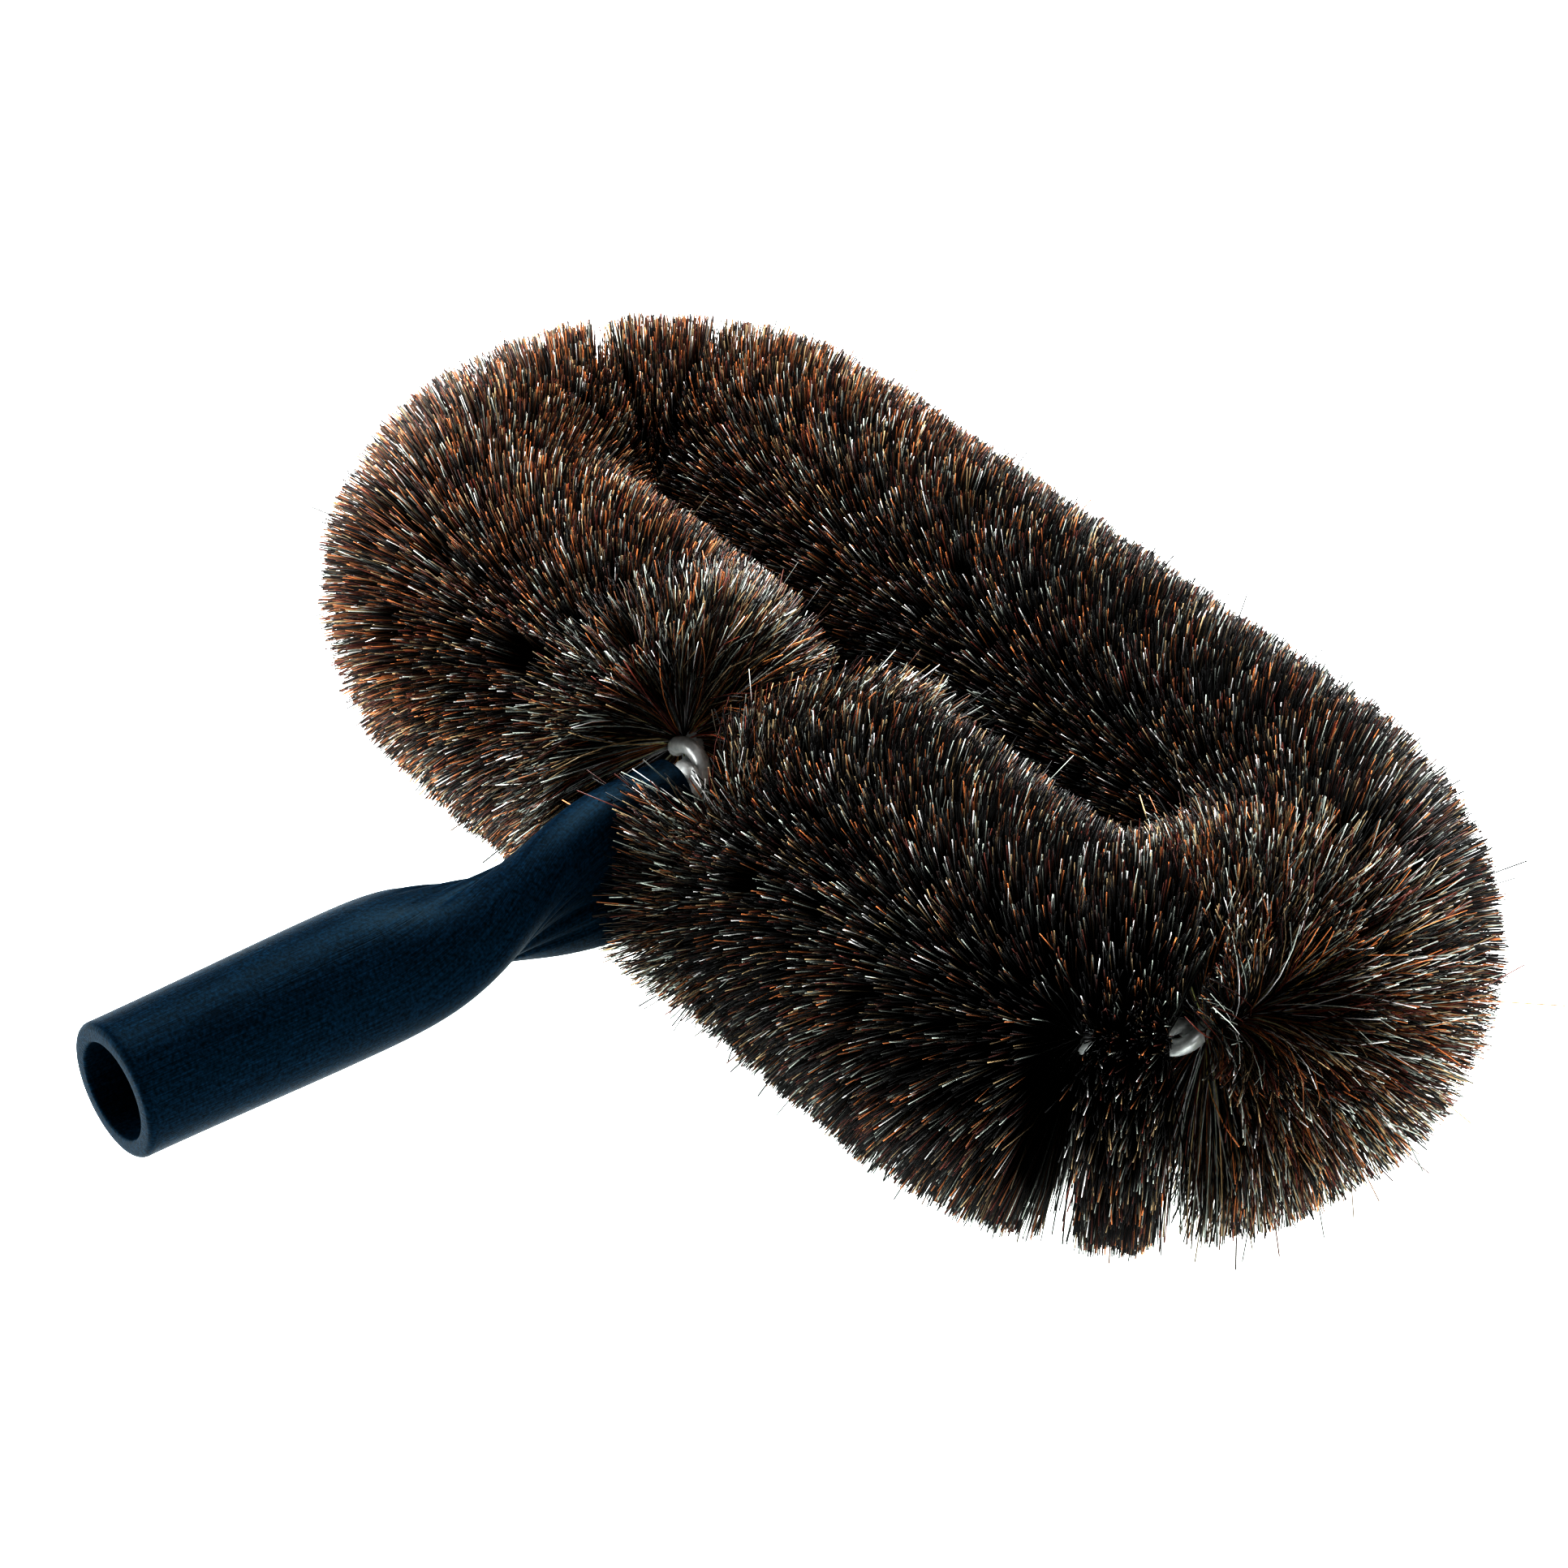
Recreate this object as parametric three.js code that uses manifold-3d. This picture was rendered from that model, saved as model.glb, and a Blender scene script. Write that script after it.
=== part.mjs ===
// Oval twisted-in-wire brush on a pole socket, in millimetres, +Z up.
//
// A pair of steel wires, twisted round each other, clamps the bristles between its turns. The brush is
// bent into a flat oval ring, and both wire ends sit one above the other in the squashed end of a
// plastic pole socket, in the middle of one long side. The ring's long axis is X and the pole is along Y.
// Everything is modelled about the ring's centre, and the whole group is then moved so that the origin
// is at the middle of the bounding box's bottom, where the bristles rest.
import * as THREE from "three";
import { mergeVertices } from "three/addons/utils/BufferGeometryUtils.js";
import Module from "manifold-3d";

// The ring
const BRISTLE_RADIUS = 43; // from the wires' centre line to the trimmed tips
const RING_HALF_LENGTH = 120; // to the furthest point of the wires' centre line
const RING_HALF_WIDTH = 36; // also the radius of both end bends
const STRAIGHT_HALF = RING_HALF_LENGTH - RING_HALF_WIDTH; // half of each straight side
const LEFT_START = 17; // where the bristles begin, left of the socket
const RIGHT_START = 11; // and right of it

// The bunches that the bristles are held in
const FAR_BUNCHES = 8;
const NEAR_LEFT_BUNCHES = 3;
const NEAR_RIGHT_BUNCHES = 4;
const BEND_BUNCHES = 6;
const FIRST_BEND_BUNCH = 22; // degrees of the bend, the way that the wires run
const BEND_BUNCH = 30; // degrees of each later one, and the last one takes the rest
const BUNCH_GAP = 0.4; // between neighbouring bunches, and between the two sides of the ring
const OUTLINE_FACETS = 24; // flats round a bunch, one of them level at the bottom
const BEND_FACETS = 40; // flats in a whole turn of a bend

// The core wires
const WIRE_RADIUS = 1.9;
const STRAND_OFFSET = 2.2; // from the pair's centre line to each wire's own
const TWIST_PITCH = 20; // length of one full turn
const STEPS_PER_TURN = 8;
const WIRE_SIDES = 6;
const WIRE_CLEARANCE = 4.75; // radius of the passage that the pair lies in
const CLEARANCE_SIDES = 10;
const CLEARANCE_STEP = 5; // length of one facet of the passage
const WIRE_HEIGHT = 9; // of the wire ends in the socket, above and below its axis
const WIRE_GRIP = 28; // length of each wire end inside the socket
const END_PLAY = 1.6; // beyond each wire end

// The pole socket
const SOCKET_HEIGHT = 2; // of its axis above the ring's plane
const SOCKET_MOUTH = -198; // y of the open end
const SOCKET_END = -56; // y of the blade's end, next to the wires
const MOUTH_RADIUS = 15;
const TUBE_RADIUS = 15.8;
const EDGE_ROUNDING = 1;
const BORE_RADIUS = 10.75;
const BORE_END_RADIUS = 10.2; // the bore narrows a little, so that a pole wedges in it
const BORE_DEPTH = 64;
const BORE_CHAMFER = 0.5;
const BLADE_HALF_HEIGHT = 19;
const BLADE_HALF_THICKNESS = 8.5;
const SQUASH_START = -141; // y where the round tube starts to flatten
const SQUASH_END = -92;
const TURN_START = -141; // y where the flattened tube starts to turn
const TURN_END = -70;
const BLADE_SQUARENESS = 0.25; // 0 for an elliptical section, more for flatter sides
const SOCKET_SIDES = 32;
const SOCKET_STEP = 4; // length of one facet along the flattened stretch

const plastic = () =>
  new THREE.MeshStandardMaterial({ color: 0x10151d, roughness: 0.45, metalness: 0 });
const galvanised = () =>
  new THREE.MeshStandardMaterial({ color: 0xb4b6b4, roughness: 0.4, metalness: 0.9 });
const horsehair = () =>
  new THREE.MeshStandardMaterial({ color: 0x4a2d1f, roughness: 0.75, metalness: 0 });

const wasm = await Module();
wasm.setup();

// A closed geometry as a solid that can be joined and cut.
function solidFrom(geometry) {
  const bare = geometry.clone();
  bare.deleteAttribute("normal");
  bare.deleteAttribute("uv");
  const merged = mergeVertices(bare, 1e-3);
  const mesh = new wasm.Mesh({
    numProp: 3,
    vertProperties: merged.attributes.position.array,
    triVerts: new Uint32Array(merged.index.array),
  });
  return new wasm.Manifold(mesh);
}

function geometryFrom(solid) {
  const mesh = solid.getMesh();
  const geometry = new THREE.BufferGeometry();
  geometry.setAttribute("position", new THREE.BufferAttribute(mesh.vertProperties, 3));
  geometry.setIndex(new THREE.BufferAttribute(mesh.triVerts, 1));
  geometry.computeVertexNormals();
  return geometry;
}

function namedMesh(name, geometry, material) {
  const mesh = new THREE.Mesh(geometry, material);
  mesh.name = name;
  return mesh;
}

// The way from a wire end in the socket to a straight side of the ring: side is -1 for the left one, and
// height is the wire end's above the ring's plane.
function lead(side, height, extra) {
  return [
    [0, SOCKET_END - WIRE_GRIP - extra, height],
    [0, SOCKET_END - WIRE_GRIP / 2, height],
    [0, SOCKET_END - 2, height],
    [3, SOCKET_END + 6, height],
    [12, SOCKET_END + 12, height],
    [26, -RING_HALF_WIDTH - 2, height * 0.7],
    [48, -RING_HALF_WIDTH, height * 0.15],
    [68, -RING_HALF_WIDTH, 0],
  ].map(([along, y, z]) => new THREE.Vector3(side * along, y, z));
}

// The wires' centre line: out of the top of the blade, round the ring by its left end, and back into the
// bottom of the blade. The straight ends are as much longer as `extra` says.
function wirePath(extra) {
  const leadOut = lead(-1, SOCKET_HEIGHT + WIRE_HEIGHT, extra);
  const leadIn = lead(1, SOCKET_HEIGHT - WIRE_HEIGHT, extra).reverse();
  const bend = (side) => {
    const pointsPerBend = 12;
    const points = [];
    for (let i = 0; i <= pointsPerBend; i += 1) {
      const turn = (Math.PI * i) / pointsPerBend;
      const along = side * (STRAIGHT_HALF + RING_HALF_WIDTH * Math.sin(turn));
      points.push(new THREE.Vector3(along, side * RING_HALF_WIDTH * Math.cos(turn), 0));
    }
    return points;
  };
  const farSide = [-40, 0, 40].map((x) => new THREE.Vector3(x, RING_HALF_WIDTH, 0));
  const path = new THREE.CatmullRomCurve3([
    ...leadOut,
    ...bend(-1),
    ...farSide,
    ...bend(1),
    ...leadIn,
  ]);
  path.arcLengthDivisions = 900;
  return path;
}

// One wire of the pair: a helix round the centre line.
class Strand extends THREE.Curve {
  constructor(path, phase) {
    super();
    this.path = path;
    this.phase = phase;
    this.turns = path.getLength() / TWIST_PITCH;
    this.arcLengthDivisions = 900;
  }

  getPoint(t, target = new THREE.Vector3()) {
    const up = new THREE.Vector3(0, 0, 1);
    const tangent = this.path.getTangentAt(t);
    const side = new THREE.Vector3().crossVectors(tangent, up).normalize();
    const top = new THREE.Vector3().crossVectors(side, tangent);
    const turn = this.phase + 2 * Math.PI * this.turns * t;
    return target
      .copy(this.path.getPointAt(t))
      .addScaledVector(side, STRAND_OFFSET * Math.cos(turn))
      .addScaledVector(top, STRAND_OFFSET * Math.sin(turn));
  }
}

function regularPolygon(radius, sides) {
  const points = [];
  for (let i = 0; i < sides; i += 1) {
    const angle = (2 * Math.PI * i) / sides;
    points.push(new THREE.Vector2(radius * Math.cos(angle), radius * Math.sin(angle)));
  }
  return new THREE.Shape(points);
}

function coreWire(name, phase) {
  const strand = new Strand(wirePath(0), phase);
  const geometry = new THREE.ExtrudeGeometry(regularPolygon(WIRE_RADIUS, WIRE_SIDES), {
    extrudePath: strand,
    steps: Math.round(strand.turns * STEPS_PER_TURN),
  });
  return namedMesh(name, geometry, galvanised());
}

// The passage that the twisted pair lies in, a little wider than the pair.
function wirePassage() {
  const path = wirePath(END_PLAY);
  const section = regularPolygon(WIRE_CLEARANCE, CLEARANCE_SIDES);
  const steps = Math.round(path.getLength() / CLEARANCE_STEP);
  return solidFrom(new THREE.ExtrudeGeometry(section, { extrudePath: path, steps }));
}

// The flattened section's half height, half thickness and turn at a place along the pole's axis.
function socketSection(y) {
  const flare = THREE.MathUtils.smoothstep(y, SOCKET_MOUTH, SQUASH_START);
  const radius = THREE.MathUtils.lerp(MOUTH_RADIUS, TUBE_RADIUS, flare);
  const squash = THREE.MathUtils.smoothstep(y, SQUASH_START, SQUASH_END);
  return {
    radius,
    squash,
    halfWidth: THREE.MathUtils.lerp(radius, BLADE_HALF_HEIGHT, squash),
    halfThickness: THREE.MathUtils.lerp(radius, BLADE_HALF_THICKNESS, squash),
    turn: (Math.PI / 2) * THREE.MathUtils.smoothstep(y, TURN_START, TURN_END),
  };
}

// Flattens a body of revolution about Y, and turns the flat from level to upright.
function squashAndTurn(geometry) {
  const places = geometry.attributes.position;
  for (let i = 0; i < places.count; i += 1) {
    const y = places.getY(i);
    const { radius, squash, halfWidth, halfThickness, turn } = socketSection(y);
    const reach = Math.hypot(places.getX(i), places.getZ(i));
    const angle = Math.atan2(places.getZ(i), places.getX(i));
    const power = 1 - BLADE_SQUARENESS * squash;
    const across = Math.sign(Math.cos(angle)) * Math.abs(Math.cos(angle)) ** power;
    const through = Math.sign(Math.sin(angle)) * Math.abs(Math.sin(angle)) ** power;
    const wide = (halfWidth * across * reach) / radius;
    const thick = (halfThickness * through * reach) / radius;
    const x = wide * Math.cos(turn) - thick * Math.sin(turn);
    const z = wide * Math.sin(turn) + thick * Math.cos(turn);
    places.setXYZ(i, x, y, z);
  }
  return geometry;
}

function socketOuter() {
  const outline = [new THREE.Vector2(0, SOCKET_MOUTH)];
  outline.push(new THREE.Vector2(MOUTH_RADIUS - EDGE_ROUNDING, SOCKET_MOUTH));
  outline.push(new THREE.Vector2(MOUTH_RADIUS, SOCKET_MOUTH + EDGE_ROUNDING));
  const flatSteps = Math.round((SOCKET_END - EDGE_ROUNDING - SQUASH_START) / SOCKET_STEP);
  for (let i = 0; i <= flatSteps; i += 1) {
    const y = THREE.MathUtils.lerp(SQUASH_START, SOCKET_END - EDGE_ROUNDING, i / flatSteps);
    outline.push(new THREE.Vector2(TUBE_RADIUS, y));
  }
  outline.push(new THREE.Vector2(TUBE_RADIUS - EDGE_ROUNDING, SOCKET_END));
  outline.push(new THREE.Vector2(0, SOCKET_END));
  return squashAndTurn(new THREE.LatheGeometry(outline, SOCKET_SIDES));
}

function socketBore() {
  const outline = [
    new THREE.Vector2(0, SOCKET_MOUTH - BORE_CHAMFER),
    new THREE.Vector2(BORE_RADIUS + 2 * BORE_CHAMFER, SOCKET_MOUTH - BORE_CHAMFER),
    new THREE.Vector2(BORE_RADIUS, SOCKET_MOUTH + BORE_CHAMFER),
    new THREE.Vector2(BORE_END_RADIUS, SOCKET_MOUTH + BORE_DEPTH),
    new THREE.Vector2(0, SOCKET_MOUTH + BORE_DEPTH),
  ];
  return new THREE.LatheGeometry(outline, SOCKET_SIDES);
}

function poleSocket(passage) {
  const tube = solidFrom(socketOuter()).subtract(solidFrom(socketBore()));
  const body = tube.translate([0, 0, SOCKET_HEIGHT]).subtract(passage);
  return namedMesh("pole_socket", geometryFrom(body), plastic());
}

// The outline of the bristles in a plane across the wires: a disc about the wires' centre line, cut off
// at `limit` on the side that faces into the ring.
function bunchOutline(limit) {
  const cornerRadius = BRISTLE_RADIUS / Math.cos(Math.PI / OUTLINE_FACETS);
  const corner = (k) => {
    const angle = ((k + 0.5) * 2 * Math.PI) / OUTLINE_FACETS;
    return new THREE.Vector2(Math.cos(angle), Math.sin(angle)).multiplyScalar(cornerRadius);
  };
  let last = 0;
  while (corner(last + 1).x > limit) last += 1;
  const inside = corner(last);
  const beyond = corner(last + 1);
  const cut = inside.clone().lerp(beyond, (inside.x - limit) / (inside.x - beyond.x));
  const outline = [new THREE.Vector2(limit, -cut.y)];
  for (let k = -last - 1; k <= last; k += 1) outline.push(corner(k));
  outline.push(new THREE.Vector2(limit, cut.y));
  return outline;
}

// A bunch on a straight side: side is 1 on the far side and -1 on the socket's.
function straightBunch(side, fromX, toX) {
  const shape = new THREE.Shape(bunchOutline(BUNCH_GAP / 2 - RING_HALF_WIDTH));
  const length = toX - fromX - BUNCH_GAP;
  const geometry = new THREE.ExtrudeGeometry(shape, { depth: length, bevelEnabled: false });
  geometry.rotateX(Math.PI / 2).rotateZ(Math.PI / 2); // the shape's x to Y, its y to Z, its depth to X
  if (side < 0) geometry.rotateZ(Math.PI);
  const start = side > 0 ? fromX + BUNCH_GAP / 2 : toX - BUNCH_GAP / 2;
  geometry.translate(start, side * RING_HALF_WIDTH, 0);
  return solidFrom(geometry);
}

// A whole ring of bristles about a bend's own centre, which the bend's bunches are sectors of.
function bendRing() {
  const outline = bunchOutline(-RING_HALF_WIDTH).map(
    (p) => new THREE.Vector2(Math.max(0, p.x + RING_HALF_WIDTH), p.y),
  );
  const geometry = new THREE.LatheGeometry(outline, BEND_FACETS, Math.PI / 2);
  return solidFrom(geometry.rotateX(Math.PI / 2));
}

// The space between two upright planes that meet near a bend's centre, `middle` being the way it opens.
function sector(middle, opening) {
  const half = opening / 2;
  const reach = (RING_HALF_WIDTH + BRISTLE_RADIUS) * 1.1;
  const tip = BUNCH_GAP / 2 / Math.sin(half);
  const shape = new THREE.Shape([
    new THREE.Vector2(tip, 0),
    new THREE.Vector2(reach, -(reach - tip) * Math.tan(half)),
    new THREE.Vector2(reach, (reach - tip) * Math.tan(half)),
  ]);
  const tall = 3 * BRISTLE_RADIUS;
  const geometry = new THREE.ExtrudeGeometry(shape, { depth: tall, bevelEnabled: false });
  geometry.translate(0, 0, -tall / 2);
  return solidFrom(geometry.rotateZ(middle));
}

// The bunches of one bend, counted the way the wires run. Side is 1 at the right end.
function bendBunches(side, ring) {
  const cuts = [0];
  for (let i = 0; i < BEND_BUNCHES - 1; i += 1) cuts.push(FIRST_BEND_BUNCH + i * BEND_BUNCH);
  cuts.push(180);
  const solids = [];
  for (let i = 0; i < BEND_BUNCHES; i += 1) {
    const opening = THREE.MathUtils.degToRad(cuts[i + 1] - cuts[i]);
    const middle = THREE.MathUtils.degToRad(side * 90 - (cuts[i] + cuts[i + 1]) / 2);
    const bunch = ring.intersect(sector(middle, opening));
    solids.push(bunch.translate([side * STRAIGHT_HALF, 0, 0]));
  }
  return solids;
}

function straightBunches(side, fromX, toX, count) {
  const solids = [];
  for (let i = 0; i < count; i += 1) {
    const start = THREE.MathUtils.lerp(fromX, toX, i / count);
    const end = THREE.MathUtils.lerp(fromX, toX, (i + 1) / count);
    solids.push(straightBunch(side, start, end));
  }
  return solids;
}

// Every bunch, in the order that the wires pass through them.
function bristles(passage) {
  const ring = bendRing();
  const stretches = {
    near_left: straightBunches(-1, -STRAIGHT_HALF, -LEFT_START, NEAR_LEFT_BUNCHES).reverse(),
    left_bend: bendBunches(-1, ring),
    far_side: straightBunches(1, -STRAIGHT_HALF, STRAIGHT_HALF, FAR_BUNCHES),
    right_bend: bendBunches(1, ring),
    near_right: straightBunches(-1, RIGHT_START, STRAIGHT_HALF, NEAR_RIGHT_BUNCHES).reverse(),
  };
  const group = new THREE.Group();
  for (const [stretch, solids] of Object.entries(stretches)) {
    solids.forEach((solid, i) => {
      const geometry = geometryFrom(solid.subtract(passage));
      group.add(namedMesh(`bristles_${stretch}_${i + 1}`, geometry, horsehair()));
    });
  }
  return group;
}

const passage = wirePassage();
const brush = new THREE.Group();
brush.add(poleSocket(passage));
brush.add(coreWire("core_wire_a", 0));
brush.add(coreWire("core_wire_b", Math.PI));
brush.add(bristles(passage));

const farEdge = RING_HALF_WIDTH + BRISTLE_RADIUS;
brush.position.set(0, -(farEdge + SOCKET_MOUTH) / 2, BRISTLE_RADIUS);

export default brush;
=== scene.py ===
# The looks of an oval twisted-in-wire brush on a pole socket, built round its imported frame. Lengths are
# in metres. Shapes are worked out about the ring's centre, which comes from the frame's boxes.
import math

import bpy
import numpy as np
from mathutils import Matrix, Vector


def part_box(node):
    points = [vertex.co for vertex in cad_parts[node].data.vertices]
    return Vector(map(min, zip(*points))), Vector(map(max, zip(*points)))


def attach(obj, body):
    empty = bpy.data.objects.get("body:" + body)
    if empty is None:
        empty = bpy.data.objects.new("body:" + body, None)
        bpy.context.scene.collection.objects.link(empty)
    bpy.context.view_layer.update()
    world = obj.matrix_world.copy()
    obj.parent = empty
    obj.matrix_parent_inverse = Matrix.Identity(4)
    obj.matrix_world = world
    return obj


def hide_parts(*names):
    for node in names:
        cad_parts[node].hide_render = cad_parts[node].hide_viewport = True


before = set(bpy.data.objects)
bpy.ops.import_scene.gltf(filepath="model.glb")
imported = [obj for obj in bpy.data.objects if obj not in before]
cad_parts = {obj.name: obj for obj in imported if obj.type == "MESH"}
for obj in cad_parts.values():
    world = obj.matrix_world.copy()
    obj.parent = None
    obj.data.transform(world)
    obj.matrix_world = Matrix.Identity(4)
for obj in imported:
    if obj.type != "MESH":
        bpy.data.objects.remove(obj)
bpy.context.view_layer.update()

SEED = 7
PARTING_SEED = SEED + 100  # clear of the bunches' own seeds
WORLD_UP = np.array([0.0, 0.0, 1.0])

# The wires, with the CAD model's sizes and its way from the socket into the ring
WIRE_RADIUS = 0.0019
STRAND_OFFSET = 0.0022  # from the pair's centre line to each wire's own
TWIST_PITCH = 0.020
WIRE_GRIP = 0.028  # length of each wire end inside the socket
WIRE_HEIGHT = 0.009  # of the wire ends in the socket, above and below its axis
WIRE_SIDES = 14
WIRE_STEPS_PER_TURN = 26
PATH_STEP = 0.00025

# How the bristles are cut into bunches, as in the CAD model
STRETCHES = {"near_left": 3, "left_bend": 6, "far_side": 8, "right_bend": 6, "near_right": 4}
FIRST_BEND_BUNCH = 22  # degrees of the bend, the way that the wires run
BEND_BUNCH = 30
BUNCH_GAP = 0.0004

# The hairs' size and number
HAIRS_PER_METRE = 235_000  # of wire
HAIR_RADIUS = 0.00018
HAIR_VARIATION = (0.75, 1.25)  # of the radius
HAIR_TAPER = 0.25  # of the radius, to the tip
HAIR_SIDES = 3
UV_MARGIN = 0.15  # of each hair's patch of the bake

# Where the hairs start and end along the wires
ROOT_DEPTH = 0.001  # where a hair starts, from the wires' centre line
STRAIGHT_ROOT_GATHER = 0.75  # how much of its bunch's length the roots take up
BEND_ROOT_GATHER = 0.7
BEND_TIP_FILL = (0.64, 0.84)  # and the tips, which leaves a wedge between two bunches of a bend
WEDGE_CLOSING = (0.55, 1.0)  # sines of the angles over which a leaning bunch's wedge closes on top
WEDGE_RAGGEDNESS = 0.0006
TIP_SCATTER = 0.0028  # along the wires
BEND_SCATTER = 0.3  # share of that in a bend
CROWDED_SIDE = -0.5  # cosine of the angle round the wires, below which hairs crowd inside a bend
INNER_BEND_THINNING = 0.6  # share of the crowded hairs left out

# How the hairs clump, and how evenly they are trimmed
TUFT_SIZE = 0.0065
BEND_TUFT = 0.5  # share of that in a bend
TUFT_ROWS = 40  # round the wires
TUFT_COLUMNS = 128  # along the wires, before their pattern repeats
TUFT_DISPLACEMENT = 0.7  # of a tuft's middle, as a share of the tuft's size
TUFT_PULL = 0.28
TUFT_TRIM = 0.0011  # how much longer or shorter a tuft may be
TRIM = 0.0005  # and one hair
AROUND_SCATTER = 0.07  # radians that a hair leans round the wires
OPEN_SCATTER = 0.14  # and in an open bunch
ROOT_STIFFNESS = 0.45  # how much a hair keeps, halfway along, of its way straight out of the wires
BOW = 0.03  # sideways, for each unit of a hair's length
OPEN_BOW = 0.08
STRAY_SHARE = 0.012
STRAY_REACH = 0.0028
OPEN_STRAY_SHARE = 0.05
OPEN_STRAY_REACH = 0.005
LONGEST_STRAY = 0.005  # beyond the bristles' box
MIDDLE_FRAYING = (-0.001, 0.0015)  # how far tips may pass the ring's middle plane, or stay short of it
MIDDLE_RISE = 0.35  # how far up or down the other tips turn there, for each unit that they would pass it

# The two bunches beside the socket: which way along the wires they lie from the free end, the share of
# the bunch that its roots take up, how far the hairs next to the socket lean over it, and where round
# the wires they lean most
SOCKET_BUNCHES = {
    "bristles_near_left_1": (-1, 0.3, math.radians(30), math.radians(160)),
    "bristles_near_right_4": (1, 0.7, math.radians(32), math.radians(-45)),
}
FAN_REACH = 0.012  # how far from the free end the hairs lean
LEAN_VARIATION = (0.5, 1.3)
LEAN_ALL_ROUND = 0.3  # share of the lean that is the same all round the wires
LEAN_ONE_SIDE = 0.9  # and the share that is on the leaning side
LEAN_LIMITS = (-0.4, 1)  # of both shares together
CROSSING_SHARE = 0.16  # of the hairs beside the socket, which lean far across it
CROSSING_LEAN = math.radians(60)
END_FACE = 0.002  # how deep the front hairs at the free end go, which are painted lighter, as if lit
END_FACE_PAINTED_LIGHT = 1.4  # painted light, added to the tone of their tufts

# Bunches that lean along the wires: the shares of the bunch's length where the roots start and end, and
# where the tips start and end
LEANING_BUNCHES = {
    "bristles_right_bend_3": (0.60, 0.93, 0.05, 1.08),
    "bristles_right_bend_4": (0.06, 0.72, 0.20, 1.08),
    "bristles_right_bend_5": (0.16, 0.95, 0.45, 0.85),
    "bristles_right_bend_6": (0.05, 0.95, 0.20, 0.95),
}
FAN_BUNCHES = ("bristles_right_bend_3", "bristles_right_bend_4")
OPEN_BUNCHES = (*SOCKET_BUNCHES, *FAN_BUNCHES)

# Where the hairs are parted down to the wires. The wide partings open towards the front right: the bunch
# at whose start one is, how far along the wires from there, and half its opening in degrees.
OPEN_SIDE = (0.65, -0.48, 0.59)
WIDE_PARTINGS = (
    ("bristles_near_left_1", 0.002, 12),
    ("bristles_right_bend_4", 0, 15),
    ("bristles_right_bend_5", 0, 8),
)
PARTING_LEAN = (math.radians(-50), math.radians(130))  # of the narrow ones, from straight out
PARTING_OPENING = (3, 7)  # half of it, in degrees
PARTING_SPREAD = 2.2  # how far out hairs are pushed aside, in half openings
PARTING_REACH = 0.055  # from a parting's foot to the roots of the hairs that it combs
COMBED_FROM = 0.3  # share of its length beyond which a hair can be combed

# The palette of the hairs: colour, then its share on the left end of the ring, elsewhere, and in the
# open bunches
HAIR_COLOURS = (
    ((0.003, 0.003, 0.003), 0.32, 0.64, 0.38),
    ((0.065, 0.019, 0.013), 0.21, 0.12, 0.17),
    ((0.228, 0.098, 0.040), 0.25, 0.07, 0.13),
    ((0.190, 0.148, 0.090), 0.14, 0.08, 0.16),
    ((0.400, 0.440, 0.400), 0.08, 0.09, 0.16),
)
LEFT_FADE = (-0.090, 0.010)  # x between which the left end's palette gives way
DARKEST_HAIR = 0.25  # of its palette colour
HAIR_LIGHTNESS = 1.7  # what the lightest hair has beyond that
DARKEST_TUFT = 0.7
TUFT_LIGHTNESS = 0.6
PALEST = 0.8

# Shares of a hair's length with a ring of vertices, and how light it is painted there. Most hairs have
# painted shade down to their roots, for the shadow deep in the bristles, and tips painted lighter, partly
# for their paler cut ends and partly as painted light. The hairs of an open bunch are painted lighter
# from their roots, as if lit, and those of the right bend's fans most of all.
PLAIN_RINGS_PAINTED_LIGHT_AND_SHADE = ((0, 0.08), (0.74, 0.26), (1, 1.5))
OPEN_RINGS_PAINTED_LIGHT = ((0, 3.0), (0.15, 2.7), (0.35, 2.0), (0.55, 1.5), (0.8, 1.2), (1, 1.1))
FAN_RINGS_PAINTED_LIGHT = ((0, 5.5), (0.15, 5.5), (0.35, 4.6), (0.55, 3.2), (0.8, 1.8), (1, 1.3))

# The pole socket, with the CAD model's driving sizes. Its y are from the ring's centre.
MOUTH_RADIUS = 0.0150
TUBE_RADIUS = 0.0158
BORE_RADIUS = 0.01075
BORE_END_RADIUS = 0.0102
BORE_DEPTH = 0.064
BLADE_HALF_THICKNESS = 0.0085
BLADE_SQUARENESS = 0.25
SQUASH = (-0.141, -0.092)  # y where the tube starts to flatten, and where it is flat
TURN = (-0.141, -0.070)  # y where the flattened tube starts to turn, and where it is upright

# What only the looks of the socket have
LIP_ROUNDING = 0.0014
BORE_ROUNDING = 0.0006
BLADE_ROUNDING = 0.0012
FLANK_DIMPLE = 0.36  # how far the pressed flanks sink in the middle, as a share of the thickness
DIMPLE_WIDTH = 0.38
DIMPLE_RISE = (-0.112, -0.078)  # y where the dimple comes in
FOLDS = ((-0.42, 0.10), (-0.14, 0.13), (0.20, 0.16), (0.50, 0.10))  # place across a flank, and depth
FOLD_WIDTH = 0.06
FOLD_RISE = (-0.128, -0.102)  # y where the folds come in
FOLD_FADE = (-0.090, -0.068)  # and fade out again
SOCKET_SIDES = 240
END_HOLE = 0.0001  # radius of the last ring at the bore's end, whose face closes it
BORE_END_RING = 0.6  # share of the bore's radius
BLADE_END_RINGS = (0.8, 0.55, 0.3, 0.006)  # shares of the tube's radius
BORE_STEPS = 20
BORE_WALL = 0.97  # share of the bore's depth before its mouth is rounded
TUBE_STEPS = 160
STREAK_LENGTH = 0.14  # of the socket for each unit of its UV

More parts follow.
